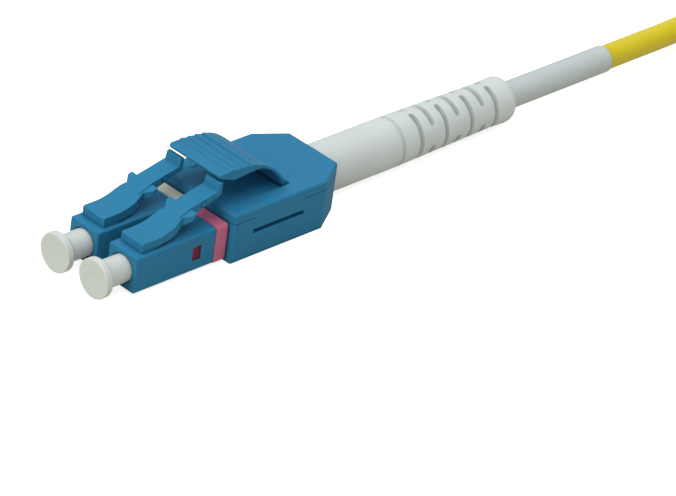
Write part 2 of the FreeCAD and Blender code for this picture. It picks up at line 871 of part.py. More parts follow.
def slotCutter(distance, middleAngle, span):
    """A slot through one side of the boot's wall, round at both ends."""
    z = bootAxisHeight
    x = housingRear + distance
    inner = cableRadius + slipGap + bootSkin
    outer = bootRadius + runOut
    half = slotWidth / 2
    straight = span - 2 * math.degrees(half / bootRadius)
    path = [(x - half, z + inner), (x - half, z + outer), (x + half, z + outer), (x + half, z + inner)]
    face = closedFace(path, lambda x, z: V(x, 0, z))
    face.rotate(V(x, 0, z), V(1, 0, 0), middleAngle - straight / 2)
    cutter = face.revolve(V(x, 0, z), V(1, 0, 0), straight)
    ends = []
    for angle in (middleAngle - straight / 2, middleAngle + straight / 2):
        direction = V(0, -math.sin(math.radians(angle)), math.cos(math.radians(angle)))
        ends.append(Part.makeCylinder(half, outer - inner, V(x, 0, z) + direction * inner, direction))
    return cutter.fuse(ends)


def makeBoot():
    front = housingRear
    grooveAt = front + bootSmooth
    halfGroove = bootGrooveWidth / 2
    tip = bootEndRadius + bootBellRise
    bellStart = bootEnd - bootBellLength
    bellTop = bootEnd - bootBellRound
    bore = cableRadius + slipGap
    counterRadius = postTailRadius + slipGap + ringWall + looseGap
    counterEnd = crimpStart + ringGripLength + looseGap
    path = [
        (front, bootRadius - bootFrontSoft),
        (front + bootFrontSoft, bootRadius),
        (grooveAt - halfGroove, bootRadius),
        ((grooveAt, bootRadius - bootGrooveDepth), (grooveAt + halfGroove, bootRadius)),
        (bellStart, bootEndRadius),
        (((bellStart + bellTop) / 2, bootEndRadius + bootBellRise * bootBellBow), (bellTop, tip)),
        ((bootEnd - bootBellRound * arcBow, tip - bootBellRound * arcBow), (bootEnd, tip - bootBellRound)),
        (bootEnd, bore),
        (counterEnd + bite, bore),
        (counterEnd, counterRadius),
        (front, counterRadius),
    ]
    shell = turned(path, 0, bootAxisHeight)
    cutters = []
    for k in range(sideSlots):
        for angle in (90 + slotTurn, slotTurn - 90):
            cutters.append(slotCutter(bootSmooth + slotsFrom + k * slotPitch, angle, sideSlotAngle))
    for k in range(sideSlots - 1):
        for angle, span in ((slotTurn, crownSlotAngle), (180 + slotTurn, bellySlotAngle)):
            cutters.append(slotCutter(bootSmooth + slotsFrom + (k + 0.5) * slotPitch, angle, span))
    return shell.cut(cutters)


def makeMarkingSleeve():
    inner = cableRadius + sleeveBore
    outer = inner + sleeveWall
    end = bootEnd + sleeveLength
    soft = sleeveSoft
    path = [(bootEnd, inner), (bootEnd, outer), (end - soft, outer), (end, outer - soft), (end, inner)]
    return turned(path, 0, bootAxisHeight)


# ------------------------------------------------------------------ the whole connector and its cord


def connectorPieces():
    pieces = {}
    for letter, side in (("a", -1), ("b", 1)):
        yMid = plugMiddle(side)
        pieces[f"dust_cap_{letter}"] = makeDustCap(yMid)
        pieces[f"plug_housing_{letter}"] = makePlugHousing(yMid)
        pieces[f"latch_{letter}"] = makeLatch(yMid)
        pieces[f"ferrule_{letter}"] = makeFerrule(yMid)
        pieces[f"ferrule_flange_{letter}"] = makeFerruleFlange(yMid)
        pieces[f"spring_{letter}"] = makeSpring(yMid)
        pieces[f"rear_body_{letter}"] = makeRearBody(yMid)
        pieces[f"fibre_{letter}"] = makeFibre(yMid, side, f"fibre_{letter}")
    pieces["lower_housing"] = makeLowerHousing()
    pieces["top_cover"] = makeTopCover()
    pieces["trigger"] = makeTrigger()
    pieces["crimp_post"] = makeCrimpPost()
    pieces["crimp_ring"] = makeCrimpRing()
    pieces["boot"] = makeBoot()
    pieces["marking_sleeve"] = makeMarkingSleeve()
    return pieces


def farPlacement():
    """The connector at the other end faces away from this one, on the same surface."""
    turnedRound = FreeCAD.Rotation(V(0, 0, 1), 180)
    return FreeCAD.Placement(V(farReach, 0, 0), turnedRound)


def makeCable():
    """The lead from the crimp to the hank; it comes down to the lowest layer past the marking sleeve."""
    route = [
        V(crimpStart, 0, bootAxisHeight),
        V(leadStraightEnd, 0, bootAxisHeight),
        V(leadSettled, hankTopLine, hankLayerZ),
        V(leadEnd, hankTopLine, hankLayerZ),
    ]
    return tubeAlong(route, cableRadius, "cable")


def makeFarCable():
    """The lead from the hank's lowest layer into the far connector."""
    outerLine = hankMiddleY + hankOuterFold
    route = [
        V(farLeadStart, outerLine, hankLayerZ),
        V(farLeadCorner, outerLine, hankLayerZ),
        V(farLeadSettled, 0, bootAxisHeight),
        V(farReach - crimpStart, 0, bootAxisHeight),
    ]
    return tubeAlong(route, cableRadius, "far_cable")


def racetrack(radius, low, high):
    """A solid with two straight sides and two half-round ends, round the hank's middle line."""
    front = hankFront
    rear = hankFront + hankStraight
    y = hankMiddleY
    straight = box(front, rear, y - radius, y + radius, low, high)
    ends = [Part.makeCylinder(radius, high - low, V(x, y, low)) for x in (front, rear)]
    return straight.fuse(ends).removeSplitter()


def makeCableHank():
    """The outer shape of the folded cable: its turns lie in columns and layers."""
    low = tieThickness
    high = tieThickness + 2 * cableRadius * hankLayers
    outer = racetrack(hankOuterFold + cableRadius, low, high)
    inner = racetrack(hankInnerFold - cableRadius, low - runOut, high + runOut)
    ring = outer.cut(inner)
    flat = edgesWhere(ring, lambda e: e.BoundBox.ZLength < tiny)
    return ring.makeFillet(hankSoft, flat)


def tieBar(outside, length, middleX):
    """A bar across the hank with the hank's own rounded section, larger by a distance all round."""
    low = tieThickness - outside
    high = tieThickness + 2 * cableRadius * hankLayers + outside
    half = hankOuterFold + cableRadius + outside
    front = middleX - length / 2
    bar = box(front, front + length, hankMiddleY - half, hankMiddleY + half, low, high)
    return bar.makeFillet(hankSoft + outside, edgesWhere(bar, lambda e: runsAlong(e, V(1, 0, 0))))


def makeCordTie():
    """A flat strap round the middle of the hank; its end lies over its start on top."""
    middleX = hankFront + hankStraight / 2
    strap = tieBar(tieThickness, tieWidth, middleX)
    high = 2 * tieThickness + 2 * cableRadius * hankLayers
    lapFront = middleX - tieWidth / 2
    lap = box(
        lapFront,
        lapFront + tieWidth,
        hankMiddleY - tieLap / 2,
        hankMiddleY + tieLap / 2,
        high - tieThickness / 2,
        high + tieThickness,
    )
    return strap.fuse(lap).cut(tieBar(0, tieWidth + 2 * runOut, middleX)).removeSplitter()


def main():
    os.makedirs("parts", exist_ok=True)
    near = connectorPieces()
    solids = dict(near)
    for name, shape in near.items():
        far = shape.copy()
        far.Placement = farPlacement().multiply(far.Placement)
        solids[f"far_{name}"] = far
    solids["cable"] = makeCable()
    solids["cable_hank"] = makeCableHank()
    solids["cord_tie"] = makeCordTie()
    solids["far_cable"] = makeFarCable()
    for name, shape in solids.items():
        shape.exportStep(f"parts/{name}.step")
        valid = "valid" if shape.isValid() and len(shape.Solids) == 1 else "CHECK"
        print(f"{name}: {shape.Volume:.3f} mm3, {len(shape.Faces)} faces, {valid}")


main()
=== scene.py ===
import bpy
import json
from math import cos, hypot, pi, radians, sin, tan
from mathutils import Matrix, Vector


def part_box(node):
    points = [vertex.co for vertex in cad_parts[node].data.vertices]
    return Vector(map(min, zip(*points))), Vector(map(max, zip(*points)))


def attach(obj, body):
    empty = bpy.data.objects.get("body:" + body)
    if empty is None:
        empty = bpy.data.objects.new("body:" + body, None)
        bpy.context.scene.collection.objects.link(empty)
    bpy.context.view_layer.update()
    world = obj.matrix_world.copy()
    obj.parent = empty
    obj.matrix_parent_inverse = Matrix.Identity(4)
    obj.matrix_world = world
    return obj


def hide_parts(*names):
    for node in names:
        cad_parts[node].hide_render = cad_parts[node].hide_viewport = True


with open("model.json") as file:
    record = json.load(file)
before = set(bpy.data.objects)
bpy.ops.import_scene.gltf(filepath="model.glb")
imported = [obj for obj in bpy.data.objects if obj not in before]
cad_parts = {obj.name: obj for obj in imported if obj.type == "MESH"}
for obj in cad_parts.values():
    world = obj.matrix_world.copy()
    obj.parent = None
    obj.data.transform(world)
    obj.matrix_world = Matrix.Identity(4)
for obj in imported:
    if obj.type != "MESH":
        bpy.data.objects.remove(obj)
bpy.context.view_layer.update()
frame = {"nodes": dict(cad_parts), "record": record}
nodes = frame["nodes"]
mm = 0.001
farReach = 198.4 * mm  # from the near connector's origin to the far one's
print("frame loaded:", len(nodes), "pieces")


# shader maths: one socket with its arithmetic, and one finish with its nodes

class Flow:
    def __init__(self, finish, socket):
        self.finish = finish
        self.socket = socket

    def maths(self, operation, *values):
        return self.finish.add("ShaderNodeMath", {"operation": operation}, dict(enumerate(values)))

    def __add__(self, other):
        return self.maths("ADD", self, other)

    __radd__ = __add__

    def __sub__(self, other):
        return self.maths("SUBTRACT", self, other)

    def __rsub__(self, other):
        return self.maths("SUBTRACT", other, self)

    def __mul__(self, other):
        return self.maths("MULTIPLY", self, other)

    __rmul__ = __mul__

    def clamped(self, low, high):
        return self.maths("MINIMUM", self.maths("MAXIMUM", self, low), high)

    def size(self):
        return self.maths("ABSOLUTE", self)

    def sine(self):
        return self.maths("SINE", self)

    def above(self, limit):
        return self.maths("GREATER_THAN", self, limit)

    def along(self, direction):
        # how far a place or a normal reaches in a direction
        settings = {"operation": "DOT_PRODUCT"}
        return self.finish.add("ShaderNodeVectorMath", settings, {0: self, 1: direction}, "Value")


class Finish:
    def __init__(self, owner):
        # owner is the new material or world that the nodes belong to
        self.owner = owner
        owner.use_nodes = True
        self.tree = owner.node_tree
        self.tree.nodes.clear()
        self.place = None

    def add(self, kind, settings, sockets, output=0):
        node = self.tree.nodes.new(kind)
        for key, value in settings.items():
            setattr(node, key, value)
        for key, value in sockets.items():
            if isinstance(value, Flow):
                self.tree.links.new(value.socket, node.inputs[key])
            else:
                node.inputs[key].default_value = value
        return Flow(self, node.outputs[output]) if node.outputs else node

    def where(self, stretch=(1, 1, 1)):
        if self.place is None:
            self.place = self.add("ShaderNodeTexCoord", {}, {}, "Object")
        if stretch == (1, 1, 1):
            return self.place
        return self.add("ShaderNodeVectorMath", {"operation": "MULTIPLY"}, {0: self.place, 1: stretch})

    def noise(self, patch, detail, rough=0.5, stretch=(1, 1, 1)):
        sockets = {"Vector": self.where(stretch), "Scale": 1 / patch, "Detail": detail, "Roughness": rough}
        return self.add("ShaderNodeTexNoise", {}, sockets, "Fac")

    def mixed(self, low, high, share):
        return self.add("ShaderNodeMix", {"data_type": "RGBA"}, {0: share, 6: low, 7: high}, 2)

    def softEdges(self, radius, gain):
        # the small radius that every moulded edge has: its normal, and how near an edge a place lies
        rounded = self.add("ShaderNodeBevel", {"samples": 6}, {"Radius": radius})
        flat = self.add("ShaderNodeNewGeometry", {}, {}, "Normal")
        return rounded, ((1 - rounded.along(flat)) * gain).clamped(0, 1)

    def crevices(self, reach):
        # how shut in a place is by the surfaces around it, on this piece and the others: the mask of a
        # painted shade
        return 1 - self.add("ShaderNodeAmbientOcclusion", {"samples": 8}, {"Distance": reach}, "AO")

    def bump(self, height, depth, over=None):
        sockets = {"Height": height, "Distance": depth}
        if over is not None:
            sockets["Normal"] = over
        return self.add("ShaderNodeBump", {}, sockets)

    def surface(self, sockets):
        shader = self.add("ShaderNodeBsdfPrincipled", {}, sockets)
        self.add("ShaderNodeOutputMaterial", {}, {"Surface": shader})
        return self.owner


def newFinish(name):
    return Finish(bpy.data.materials.new(name))


def linear(red, green, blue):
    # a colour as a paint chart gives it, 0 to 255, to the renderer's linear values
    def one(value):
        share = value / 255
        return share / 12.92 if share <= 0.04045 else ((share + 0.055) / 1.055) ** 2.4
    return (one(red), one(green), one(blue), 1)


def scaled(colour, factor):
    return tuple(min(1, part * factor) for part in colour[:3]) + (1,)


# mouldings: plastic, rubber and the cable's jacket

# what the mouldings share; a look below may give its own value for any of these
anyMoulding = {
    "worn": 1.25,  # tone of the scuffs, as a factor of the colour
    "specular": 0.5,
    "scatter": 0,
    "scatterDepth": 0.6 * mm,
    "flow": (1, 1, 1),  # how the scuffs stretch
    "cloudDetail": 4,
    "grainDetail": 2,
    "scuffDetail": 5,
    "scuffRough": 0.62,
    "scuffFrom": 0.56,  # the share of the noise above which a scuff shows
    "scuffGain": 9,
    "scuffHeight": 0.3,
    "grainHeight": 0.7,
    "edgeGain": 5,
    "edgeEven": 0.4,  # the share of an edge's wear and painted highlight that is the same all along it
    "edgePatchy": 0.6,
    "roughCloud": 0.12,
    "roughScuff": 0.08,
}


def mouldedPlastic(name, ownLook):
    look = anyMoulding | ownLook
    colour = look["colour"]
    made = newFinish(name)
    clouds = made.noise(look["cloud"], look["cloudDetail"])
    fine = made.noise(look["grain"], look["grainDetail"])
    scuff = made.noise(look["scuff"], look["scuffDetail"], look["scuffRough"], look["flow"])
    scratched = ((scuff - look["scuffFrom"]) * look["scuffGain"]).clamped(0, 1)
    base = made.mixed(scaled(colour, 1 - look["vary"]), scaled(colour, 1 + look["vary"]), clouds)
    base = made.mixed(base, scaled(colour, look["worn"]), scratched * look["wear"])
    rounded, nearEdge = made.softEdges(look["edge"], look["edgeGain"])
    # wear and a painted highlight: a lighter tone along the rounded edges, patchy in part
    wornAndHighlitEdges = nearEdge * (clouds * look["edgePatchy"] + look["edgeEven"]) * look["edgeWearAndHighlight"]
    base = made.mixed(base, scaled(colour, look["wornEdgeAndHighlightTone"]), wornAndHighlitEdges)
    # painted shade: crevices, recesses and the joints between parts are darkened by how shut in they are
    dusty = made.crevices(look["reach"]) * look["dust"]
    base = made.mixed(base, scaled(colour, look["dustTone"]), dusty)
    if "tabShadeColour" in look:
        # painted shade: of this piece only the snap tab, in shade in the plug's window, lies so far from
        # the cord's middle, and there it takes a dark crimson
        away = (made.where().along((1, 0, 0)) - look["cordMiddle"]).size()
        base = made.mixed(base, look["tabShadeColour"], away.above(look["tabShadeFrom"]))
    height = fine * look["grainHeight"] + scuff * look["scuffHeight"]
    sockets = {
        "Base Color": base,
        "Roughness": (clouds - 0.5) * look["roughCloud"] + scratched * look["roughScuff"] + look["rough"],
        "Normal": made.bump(height, look["depth"], rounded),
        "Specular IOR Level": look["specular"],
        "Subsurface Weight": look["scatter"],
        "Subsurface Radius": (1, 1, 1),
        "Subsurface Scale": look["scatterDepth"],
    }
    return made.surface(sockets)


bluePlastic = {
    "colour": linear(48, 128, 168), "vary": 0.05, "rough": 0.48, "specular": 0.09,
    "cloud": 4.0 * mm, "grain": 0.09 * mm, "scuff": 1.6 * mm, "flow": (0.35, 1, 1), "wear": 0.10,
    "depth": 0.012 * mm, "edge": 0.15 * mm, "wornEdgeAndHighlightTone": 2.1, "edgeWearAndHighlight": 0.8,
    "reach": 0.4 * mm, "dustTone": 0.10, "dust": 1.0,
}
pinkPlastic = {
    "colour": linear(208, 110, 141), "vary": 0.05, "rough": 0.40, "specular": 0.25, "scatter": 0.2,
    "cloud": 3.0 * mm, "grain": 0.09 * mm, "scuff": 1.4 * mm, "wear": 0.10,
    "depth": 0.010 * mm, "edge": 0.10 * mm, "wornEdgeAndHighlightTone": 1.5, "edgeWearAndHighlight": 0.6,
    "reach": 0.6 * mm, "dustTone": 0.4, "dust": 0.2,
    # the snap tab's dark colour in its window is a painted shade
    "cordMiddle": farReach / 2, "tabShadeFrom": 111.0 * mm, "tabShadeColour": linear(128, 4, 58),
}
ivoryPlastic = {
    "colour": linear(228, 224, 197), "vary": 0.05, "rough": 0.42,
    "cloud": 3.0 * mm, "grain": 0.09 * mm, "scuff": 1.4 * mm, "wear": 0.10, "worn": 1.1,
    "depth": 0.010 * mm, "edge": 0.08 * mm, "wornEdgeAndHighlightTone": 1.1, "edgeWearAndHighlight": 0.4,
    "reach": 0.5 * mm, "dustTone": 0.5, "dust": 0.15,
}
capPlastic = {
    "colour": linear(215, 220, 215), "vary": 0.03, "rough": 0.46, "scatter": 0.3,
    "cloud": 3.0 * mm, "grain": 0.12 * mm, "scuff": 1.2 * mm, "wear": 0.15, "worn": 0.93,
    "depth": 0.010 * mm, "edge": 0.10 * mm, "wornEdgeAndHighlightTone": 1.08, "edgeWearAndHighlight": 0.5,
    "reach": 0.8 * mm, "dustTone": 0.6, "dust": 0.25,
}
bootRubber = {
    "colour": linear(217, 224, 221), "vary": 0.02, "rough": 0.55, "scatter": 0.5, "scatterDepth": 2.0 * mm,
    "cloud": 6.0 * mm, "grain": 0.10 * mm, "scuff": 2.4 * mm, "wear": 0.16, "worn": 0.94,
    "depth": 0.010 * mm, "edge": 0.12 * mm, "wornEdgeAndHighlightTone": 1.06, "edgeWearAndHighlight": 0.4,
    "reach": 0.8 * mm, "dustTone": 0.55, "dust": 0.45,
}
sleevePlastic = {
    "colour": linear(202, 210, 209), "vary": 0.02, "rough": 0.50, "specular": 0.18,
    "cloud": 5.0 * mm, "grain": 0.14 * mm, "scuff": 2.0 * mm, "flow": (0.3, 1, 1),
    "wear": 0.15, "worn": 0.94,
    "depth": 0.008 * mm, "edge": 0.05 * mm, "wornEdgeAndHighlightTone": 1.05, "edgeWearAndHighlight": 0.3,
    "reach": 0.8 * mm, "dustTone": 0.6, "dust": 0.3,
}
yellowJacket = {
    "colour": linear(224, 204, 48), "vary": 0.03, "rough": 0.38, "specular": 0.22,
    "scatter": 0.6, "scatterDepth": 3.0 * mm,
    "cloud": 6.0 * mm, "grain": 0.14 * mm, "scuff": 3.0 * mm, "flow": (0.25, 1, 1),
    "wear": 0.12, "worn": 0.9,
    "depth": 0.008 * mm, "edge": 0.05 * mm, "wornEdgeAndHighlightTone": 1.05, "edgeWearAndHighlight": 0.3,
    "reach": 1.2 * mm, "dustTone": 0.6, "dust": 0.4,
}
fibreBuffer = {
    "colour": linear(238, 236, 222), "vary": 0.03, "rough": 0.45,
    "cloud": 3.0 * mm, "grain": 0.10 * mm, "scuff": 1.0 * mm, "wear": 0.1, "worn": 0.95,
    "depth": 0.005 * mm, "edge": 0.05 * mm, "wornEdgeAndHighlightTone": 1.05, "edgeWearAndHighlight": 0.3,
    "reach": 0.8 * mm, "dustTone": 0.6, "dust": 0.3,
}


# metal, ceramic and the strap's cloth

anyMetal = {
    "stain": 2.0 * mm,
    "stainDetail": 4,
    "stainTone": 0.82,
    "grainDetail": 3,
    "grainRough": 0.6,
    "roughVary": 0.16,
    "depth": 0.006 * mm,
}
nickelPlate = {"colour": linear(206, 200, 184), "rough": 0.26, "grain": 0.4 * mm, "flow": (4, 0.4, 0.4)}
crimpTube = {"colour": linear(198, 200, 204), "rough": 0.30, "grain": 0.5 * mm, "flow": (0.4, 2, 2)}
springWire = {"colour": linear(180, 182, 186), "rough": 0.24, "grain": 0.3 * mm, "flow": (1, 1, 1)}


def metalFinish(name, ownLook):
    look = anyMetal | ownLook
    made = newFinish(name)
    turning = made.noise(look["grain"], look["grainDetail"], look["grainRough"], look["flow"])
    stain = made.noise(look["stain"], look["stainDetail"])
    sockets = {
        "Base Color": made.mixed(scaled(look["colour"], look["stainTone"]), look["colour"], stain),
        "Metallic": 1.0,
        "Roughness": turning * look["roughVary"] + look["rough"],
        "Normal": made.bump(turning, look["depth"]),
    }
    return made.surface(sockets)


zirconia = {
    "dull": linear(228, 224, 214), "bright": linear(244, 242, 236), "haze": 0.8 * mm, "hazeDetail": 3,
    "rough": 0.14, "roughVary": 0.06, "coat": 0.3, "depth": 0.002 * mm,
}


def ceramicFinish(look):
    made = newFinish("polished zirconia")
    haze = made.noise(look["haze"], look["hazeDetail"])
    sockets = {
        "Base Color": made.mixed(look["dull"], look["bright"], haze),
        "Roughness": haze * look["roughVary"] + look["rough"],
        "Coat Weight": look["coat"],
        "Normal": made.bump(haze, look["depth"]),
    }
    return made.surface(sockets)


loopCloth = {
    "colour": linear(62, 64, 68), "dark": 0.45, "light": 1.7,
    "thread": 0.42 * mm, "threadHeight": 0.25, "threadLight": 0.2,
    "pile": 0.16 * mm, "pileDetail": 5, "pileRough": 0.7, "pileLight": 0.6,
    "cloud": 3.0 * mm, "cloudDetail": 4, "cloudLight": 0.4,
    "rough": 0.82, "roughVary": 0.1, "specular": 0.2, "sheen": 0.35, "sheenRough": 0.5, "depth": 0.06 * mm,
}


def strapFinish(look):
    # a knitted ground in fine ribs both ways, with a fluffy loop pile over it
    made = newFinish("loop cloth strap")
    turn = 2 * pi / look["thread"]
    lengthwise = made.where().along((0, 1, 1))
    sideways = made.where().along((1, 0, 0))
    knit = (lengthwise * turn).sine() * (sideways * turn).sine()
    pile = made.noise(look["pile"], look["pileDetail"], look["pileRough"])
    clouds = made.noise(look["cloud"], look["cloudDetail"])
    lit = knit * look["threadLight"] + pile * look["pileLight"] + clouds * look["cloudLight"]
    shades = (scaled(look["colour"], look["dark"]), scaled(look["colour"], look["light"]))
    sockets = {
        "Base Color": made.mixed(*shades, lit.clamped(0, 1)),
        "Roughness": clouds * look["roughVary"] + look["rough"],
        "Specular IOR Level": look["specular"],
        "Sheen Weight": look["sheen"],
        "Sheen Roughness": look["sheenRough"],
        "Normal": made.bump(knit * look["threadHeight"] + pile, look["depth"]),
    }
    return made.surface(sockets)


def makeFinishes():
    return {
        "blue_plastic": mouldedPlastic("blue moulded plastic", bluePlastic),
        "rear_body_pink": mouldedPlastic("pink moulded plastic", pinkPlastic),
        "rear_body_ivory": mouldedPlastic("ivory moulded plastic", ivoryPlastic),
        "cap_plastic": mouldedPlastic("soft white cap plastic", capPlastic),
        "boot_white": mouldedPlastic("white boot rubber", bootRubber),
        "sleeve_white": mouldedPlastic("white marking sleeve", sleevePlastic),
        "jacket_yellow": mouldedPlastic("yellow cable jacket", yellowJacket),
        "fibre_buffer": mouldedPlastic("fibre buffer", fibreBuffer),
        "tie_strap": strapFinish(loopCloth),
        "ceramic": ceramicFinish(zirconia),
        "flange_metal": metalFinish("nickel plate", nickelPlate),
        "crimp_metal": metalFinish("crimp tube metal", crimpTube),
        "spring_steel": metalFinish("spring wire", springWire),
    }


def dressNodes():
    for part in frame["record"]["subparts"]:
        for slot in nodes[part["node"]].material_slots:
            slot.material = finishes[part["material_slot"]]


finishes = makeFinishes()
dressNodes()
print("finishes:", len(finishes))


# the strap that holds the hank: one strip of cloth whose end lies over its start

strapLook = {
    "thickness": 0.3 * mm,
    "corner": 1.35 * mm,
    "lap": 6.0 * mm,
    "rise": 0.8 * mm,  # the stretch over which the end climbs onto the start
    "cornerSteps": 8,
    "sideStep": 0.9 * mm,
    "ribs": 14,
    "softSide": 0.07 * mm,
}


def strapLine(look, low, high):
    # the strip's middle line in Y and Z, round the hank from under the lap to the end on top of it
    half = look["thickness"] / 2
    left, right = low.y + half, high.y - half
    bottom, top = low.z + half, high.z - look["thickness"] - half
    lapStart = (left + right) / 2 + look["lap"] / 2
    lapEnd = (left + right) / 2 - look["lap"] / 2
    corner = look["corner"]
    corners = [
        (left + corner, top - corner, 90),
        (left + corner, bottom + corner, 180),
        (right - corner, bottom + corner, 270),
        (right - corner, top - corner, 360),
    ]
    line = [(lapStart - look["rise"], top)]
    for y, z, start in corners:
        for step in range(look["cornerSteps"] + 1):
            angle = radians(start + 90 * step / look["cornerSteps"])
            line.append((y + corner * cos(angle), z + corner * sin(angle)))
    line += [
        (lapStart, top),
        (lapStart - look["rise"] / 2, top + half),
        (lapStart - look["rise"], top + 2 * half),
        (lapEnd, top + 2 * half),
    ]
    return divided(line, look["sideStep"])


def divided(line, step):
    spots = [line[0]]
    for (y1, z1), (y2, z2) in zip(line, line[1:]):
        parts = max(1, round(hypot(y2 - y1, z2 - z1) / step))
        spots += [(y1 + (y2 - y1) * k / parts, z1 + (z2 - z1) * k / parts) for k in range(1, parts + 1)]
    return spots


def strapRing(look, low, high, spot, outward):
    # one section across the strip: over its outer face and back under the inner one, with soft sides
    y, z = spot
    upper = []
    lower = []
    for rib in range(look["ribs"] + 1):
        x = low.x + (high.x - low.x) * rib / look["ribs"]
        atSide = rib in (0, look["ribs"])
        half = look["thickness"] / 2 - (look["softSide"] if atSide else 0)
        upper.append((x, y + outward[0] * half, z + outward[1] * half))
        lower.append((x, y - outward[0] * half, z - outward[1] * half))
    return upper + lower[::-1]


def makeStrap(look):
    low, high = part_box("cord_tie")
    line = strapLine(look, low, high)
    places = []
    for k, spot in enumerate(line):
        before = line[max(0, k - 1)]
        after = line[min(len(line) - 1, k + 1)]
        length = hypot(after[0] - before[0], after[1] - before[1])
        outward = ((before[1] - after[1]) / length, (after[0] - before[0]) / length)
        places += strapRing(look, low, high, spot, outward)
    around = 2 * (look["ribs"] + 1)
    faces = []
    for start in range(0, len(places) - around, around):
        for k in range(around):
            here, beside = start + k, start + (k + 1) % around
            faces.append((here, here + around, beside + around, beside))
    faces.append(tuple(range(around)))
    faces.append(tuple(range(len(places) - 1, len(places) - around - 1, -1)))
    mesh = bpy.data.meshes.new("tie_strap")
    mesh.from_pydata(places, [], faces)
    mesh.validate()
    strap = bpy.data.objects.new("tie_strap", mesh)
    bpy.context.scene.collection.objects.link(strap)
    mesh.materials.append(finishes["tie_strap"])
    for face in mesh.polygons:
        face.use_smooth = True
    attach(strap, "connector")
    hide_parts("cord_tie")
    return strap


tieStrap = makeStrap(strapLook)
print("strap laid round the hank")


# the cable, one length from crimp to crimp

cableLook = {
    "diameter": 3.0 * mm,
    "crimpX": 13.775 * mm,  # where the jacket ends in the crimp tube
    "bootHeight": 3.0 * mm,  # the boot's middle line over the table
    "straightEnd": 69.5 * mm,
    "settledX": 78.5 * mm,  # from here it runs at the first layer's height
    "hankFront": 89.0 * mm,
    "hankRear": 119.0 * mm,
    "hankMiddle": -7.3 * mm,
    "innerFold": 9.0 * mm,  # the bends of the two columns, to the middle of the cable
    "outerFold": 12.0 * mm,
    "foldSteps": 6,
    "lowest": 1.8 * mm,  # the first layer's middle line: the strap lies under it
    "layers": 4,
    "farStart": 118.5 * mm,
    "farCorner": 127.5 * mm,
    "farSettled": 136.5 * mm,
    "roundness": 7,
    "smoothness": 6,
}


def foldPoints(look, atRear, radii, heights):
    # a half turn to the right; its steps touch the circle half way between points
    points = []
    centre = look["hankRear"] if atRear else look["hankFront"]
    side = 1 if atRear else -1
    turn = pi / look["foldSteps"]
    for step in range(look["foldSteps"]):
        angle = turn * (step + 0.5)
        share = (step + 0.5) / look["foldSteps"]
        rise = share * share * (3 - 2 * share)
        radius = (radii[0] + (radii[1] - radii[0]) * share) / cos(turn / 2)
        x = centre + side * radius * sin(angle)
        y = look["hankMiddle"] + side * radius * cos(angle)
        points.append((x, y, heights[0] + (heights[1] - heights[0]) * rise))
    return points


def runPoints(look, onLeft, radius, heights):
    # a straight side of the hank, from just inside one fold to just inside the other
    inset = radius * tan(pi / look["foldSteps"] / 2)
    y = look["hankMiddle"] + (radius if onLeft else -radius)
    places = [(look["hankFront"] + inset, y), (look["hankRear"] - inset, y)]
    if not onLeft:
        places.reverse()
    return [(*place, height) for place, height in zip(places, heights)]


def hankPoints(look):
    # up through the inner column a layer each turn, then down through the outer column
    points = []
    inner = look["innerFold"]
    outer = look["outerFold"]
    top = look["layers"] - 1
    level = [look["lowest"] + look["diameter"] * k for k in range(look["layers"])]
    for k in range(top):
        points += runPoints(look, True, inner, (level[k], level[k]))
        points += foldPoints(look, True, (inner, inner), (level[k], level[k]))
        points += runPoints(look, False, inner, (level[k], level[k]))
        points += foldPoints(look, False, (inner, inner), (level[k], level[k + 1]))
    points += runPoints(look, True, inner, (level[top], level[top]))
    points += foldPoints(look, True, (inner, outer), (level[top], level[top]))
    for k in range(top, 0, -1):
        points += runPoints(look, False, outer, (level[k], level[k]))
        points += foldPoints(look, False, (outer, outer), (level[k], level[k]))
        points += runPoints(look, True, outer, (level[k], level[k - 1]))
        if k > 1:
            points += foldPoints(look, True, (outer, outer), (level[k - 1], level[k - 1]))
    points[-1] = (look["farStart"], *points[-1][1:])
    return points


def cablePoints(look):
    nearLine = look["hankMiddle"] + look["innerFold"]
    farLine = look["hankMiddle"] + look["outerFold"]
    leadSpan = look["settledX"] - look["straightEnd"]
    near = [
        (look["crimpX"], 0, look["bootHeight"]),
        (look["straightEnd"] - leadSpan, 0, look["bootHeight"]),
        (look["straightEnd"], 0, look["bootHeight"]),
        (look["settledX"], nearLine, look["lowest"]),
    ]
    farSpan = look["farSettled"] - look["farCorner"]
    far = [
        (look["farCorner"], farLine, look["lowest"]),
        (look["farSettled"], 0, look["bootHeight"]),
        (look["farSettled"] + farSpan, 0, look["bootHeight"]),
        (farReach - look["crimpX"], 0, look["bootHeight"]),
    ]
    return near + hankPoints(look) + far


def curveThrough(name, points, look):
    data = bpy.data.curves.new(name, "CURVE")
    data.dimensions = "3D"
    data.bevel_depth = look["diameter"] / 2
    data.bevel_resolution = look["roundness"]
    data.resolution_u = look["smoothness"]
    data.use_fill_caps = True
    line = data.splines.new("NURBS")
    line.points.add(len(points) - 1)
    for spot, place in zip(line.points, points):
        spot.co = (*place, 1)
    line.use_endpoint_u = True
    line.order_u = 3  # each stretch is a parabola that touches the lines between the points
    piece = bpy.data.objects.new(name, data)
    bpy.context.scene.collection.objects.link(piece)
    return piece


def routeLength(piece):
    bare = piece.data.copy()
    bare.bevel_depth = 0
    helper = bpy.data.objects.new("measure", bare)
    bpy.context.scene.collection.objects.link(helper)
    bpy.context.view_layer.update()
    mesh = bpy.data.meshes.new_from_object(helper)
    spots = [v.co.copy() for v in mesh.vertices]
    total = sum((b - a).length for a, b in zip(spots, spots[1:]))
    bpy.data.objects.remove(helper)
    return total


